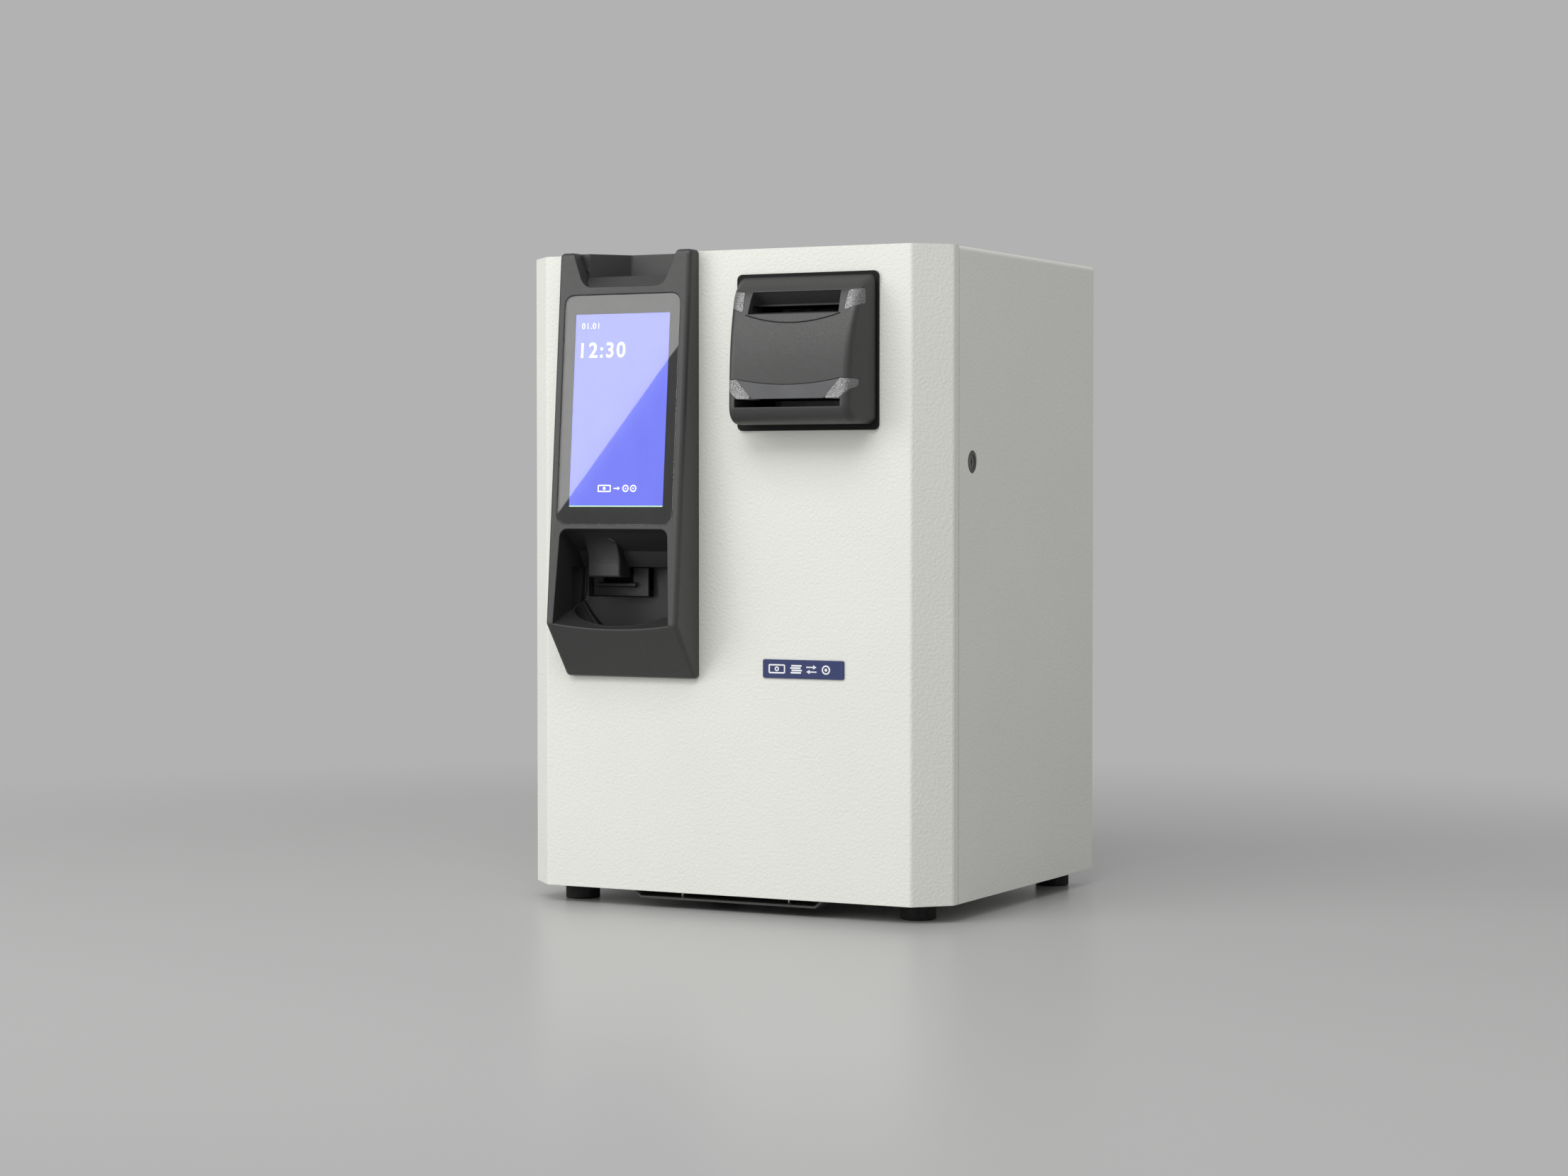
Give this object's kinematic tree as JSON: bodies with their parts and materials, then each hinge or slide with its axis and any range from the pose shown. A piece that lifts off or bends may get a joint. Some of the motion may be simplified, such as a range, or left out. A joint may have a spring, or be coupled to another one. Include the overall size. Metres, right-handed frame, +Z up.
{
  "type": "automated teller machine",
  "caption": "Counter-top cash payment machine: hinged sheet-metal cabinet with touch terminal, coin bowl, coin return and banknote reader.",
  "frame": {"origin": "centre of the bounding box in plan, on the surface the rubber feet stand on", "axes": "+Z up, -Y towards the customer, +X to the right as the customer sees it"},
  "size_m": [0.376, 0.3505, 0.5248],
  "materials": {
    "powder_coat": "fine orange-peel powder coat, off-white",
    "zinc_sheet": "zinc plated sheet",
    "bracket_steel": "dark coated sheet",
    "bright_steel": "bright plated",
    "lock_dark": "black chrome",
    "rubber_black": "matte",
    "textured_grey": "spark-eroded texture, dark grey",
    "black_plastic": "smooth black",
    "panel_grey": "satin grey",
    "cover_glass": "clear cover glass",
    "screen": "lit screen",
    "lens_clear": "frosted clear",
    "badge_blue": "printed badge",
    "circuit_green": "solder mask",
    "roller_rubber": "soft rubber",
    "gear_white": "natural acetal",
    "module_grey": "moulded grey",
    "cassette_blue": "moulded blue",
    "hopper_plastic": "moulded black",
    "coin_red": "moulded red",
    "motor_can": "drawn can"
  },
  "bodies": {
    "cabinet": {"cabinet_wrap": "powder_coat", "floor_panel": "powder_coat", "rear_panel": "powder_coat", "rear_screws": "bright_steel", "rubber_feet": "rubber_black", "foot_screws": "bright_steel", "anchor_bracket": "bracket_steel", "bracket_posts": "bright_steel", "hinge_leaf_cabinet": "zinc_sheet", "hinge_pin": "bright_steel", "lock_bracket": "zinc_sheet", "lock_body": "lock_dark", "lock_nut": "bright_steel", "equipment_shelf": "zinc_sheet", "shelf_rails": "zinc_sheet", "note_side_plates": "zinc_sheet", "note_cover": "module_grey", "note_motor": "motor_can", "note_cassette": "cassette_blue", "coin_hopper": "hopper_plastic", "coin_motor": "motor_can", "coin_box": "zinc_sheet", "power_supply": "zinc_sheet", "control_board": "circuit_green", "fan_frame": "black_plastic", "fan_guard": "bright_steel", "power_inlet": "black_plastic", "switch_body": "black_plastic"},
    "door": {"door_shell": "powder_coat", "door_gasket": "rubber_black", "door_catch": "zinc_sheet", "hinge_leaf_door": "zinc_sheet", "terminal_housing": "textured_grey", "display_glass": "cover_glass", "lcd_panel": "screen", "display_board": "circuit_green", "coin_bowl": "textured_grey", "coin_cup": "textured_grey", "return_chute": "textured_grey", "reader_plate": "black_plastic", "reader_bezel": "textured_grey", "reader_panel": "panel_grey", "reader_lenses": "lens_clear", "note_entry_guide": "black_plastic", "note_exit_guide": "black_plastic", "light_board": "circuit_green", "badge_plate": "badge_blue"},
    "flap": {"coin_flap": "black_plastic"},
    "lock": {"lock_plug": "bright_steel", "lock_cam": "zinc_sheet", "cam_screw": "bright_steel"},
    "feed": {"feed_roller": "roller_rubber"},
    "transport": {"transport_roller": "roller_rubber"},
    "pinion": {"drive_pinion": "gear_white"},
    "drum_upper": {"storage_drum_upper": "module_grey"},
    "drum_lower": {"storage_drum_lower": "module_grey"},
    "handle": {"cassette_handle": "black_plastic"},
    "disc": {"coin_disc": "coin_red"},
    "fan": {"fan_rotor": "black_plastic"},
    "rocker": {"power_switch": "coin_red"}
  },
  "joints": [
    {"name": "door_hinge", "type": "hinge", "parent": "cabinet", "child": "door", "pos_m": [-0.185, -0.10415, 0.2685], "axis": [0, 0, -1], "range_deg": [0, 105]},
    {"name": "lock_turn", "type": "hinge", "parent": "cabinet", "child": "lock", "pos_m": [0.18, -0.07835, 0.3565], "axis": [-1, 0, 0], "range_deg": [0, 90]},
    {"name": "flap_swing", "type": "hinge", "parent": "door", "child": "flap", "pos_m": [-0.106, -0.11415, 0.269], "axis": [1, 0, 0], "range_deg": [-60, 0]},
    {"name": "feed_spin", "type": "hinge", "parent": "cabinet", "child": "feed", "pos_m": [0.075, -0.05615, 0.465], "axis": [1, 0, 0], "continuous": true},
    {"name": "transport_spin", "type": "hinge", "parent": "cabinet", "child": "transport", "pos_m": [0.075, -0.02015, 0.465], "axis": [1, 0, 0], "continuous": true},
    {"name": "pinion_spin", "type": "hinge", "parent": "cabinet", "child": "pinion", "pos_m": [0.136, -0.03815, 0.465], "axis": [1, 0, 0], "continuous": true},
    {"name": "drum_upper_spin", "type": "hinge", "parent": "cabinet", "child": "drum_upper", "pos_m": [0.075, 0.08985, 0.4335], "axis": [1, 0, 0], "continuous": true},
    {"name": "drum_lower_spin", "type": "hinge", "parent": "cabinet", "child": "drum_lower", "pos_m": [0.075, 0.08985, 0.3635], "axis": [1, 0, 0], "continuous": true},
    {"name": "handle_fold", "type": "hinge", "parent": "cabinet", "child": "handle", "pos_m": [0.075, -0.06715, 0.2115], "axis": [-1, 0, 0], "range_deg": [0, 90]},
    {"name": "disc_spin", "type": "hinge", "parent": "cabinet", "child": "disc", "pos_m": [-0.095, -0.03215, 0.2755], "axis": [0, 0, 1], "continuous": true},
    {"name": "fan_spin", "type": "hinge", "parent": "cabinet", "child": "fan", "pos_m": [-0.11, 0.15685, 0.4335], "axis": [0, 1, 0], "continuous": true},
    {"name": "switch_rock", "type": "hinge", "parent": "cabinet", "child": "rocker", "pos_m": [0.0725, 0.16835, 0.0675], "axis": [0, 0, 1], "range_deg": [-14, 0]}
  ],
  "couplings": [
    {"joint": "pinion_spin", "follows": "feed_spin", "ratio": -2},
    {"joint": "transport_spin", "follows": "feed_spin", "ratio": 1},
    {"joint": "drum_lower_spin", "follows": "drum_upper_spin", "ratio": -1}
  ]
}
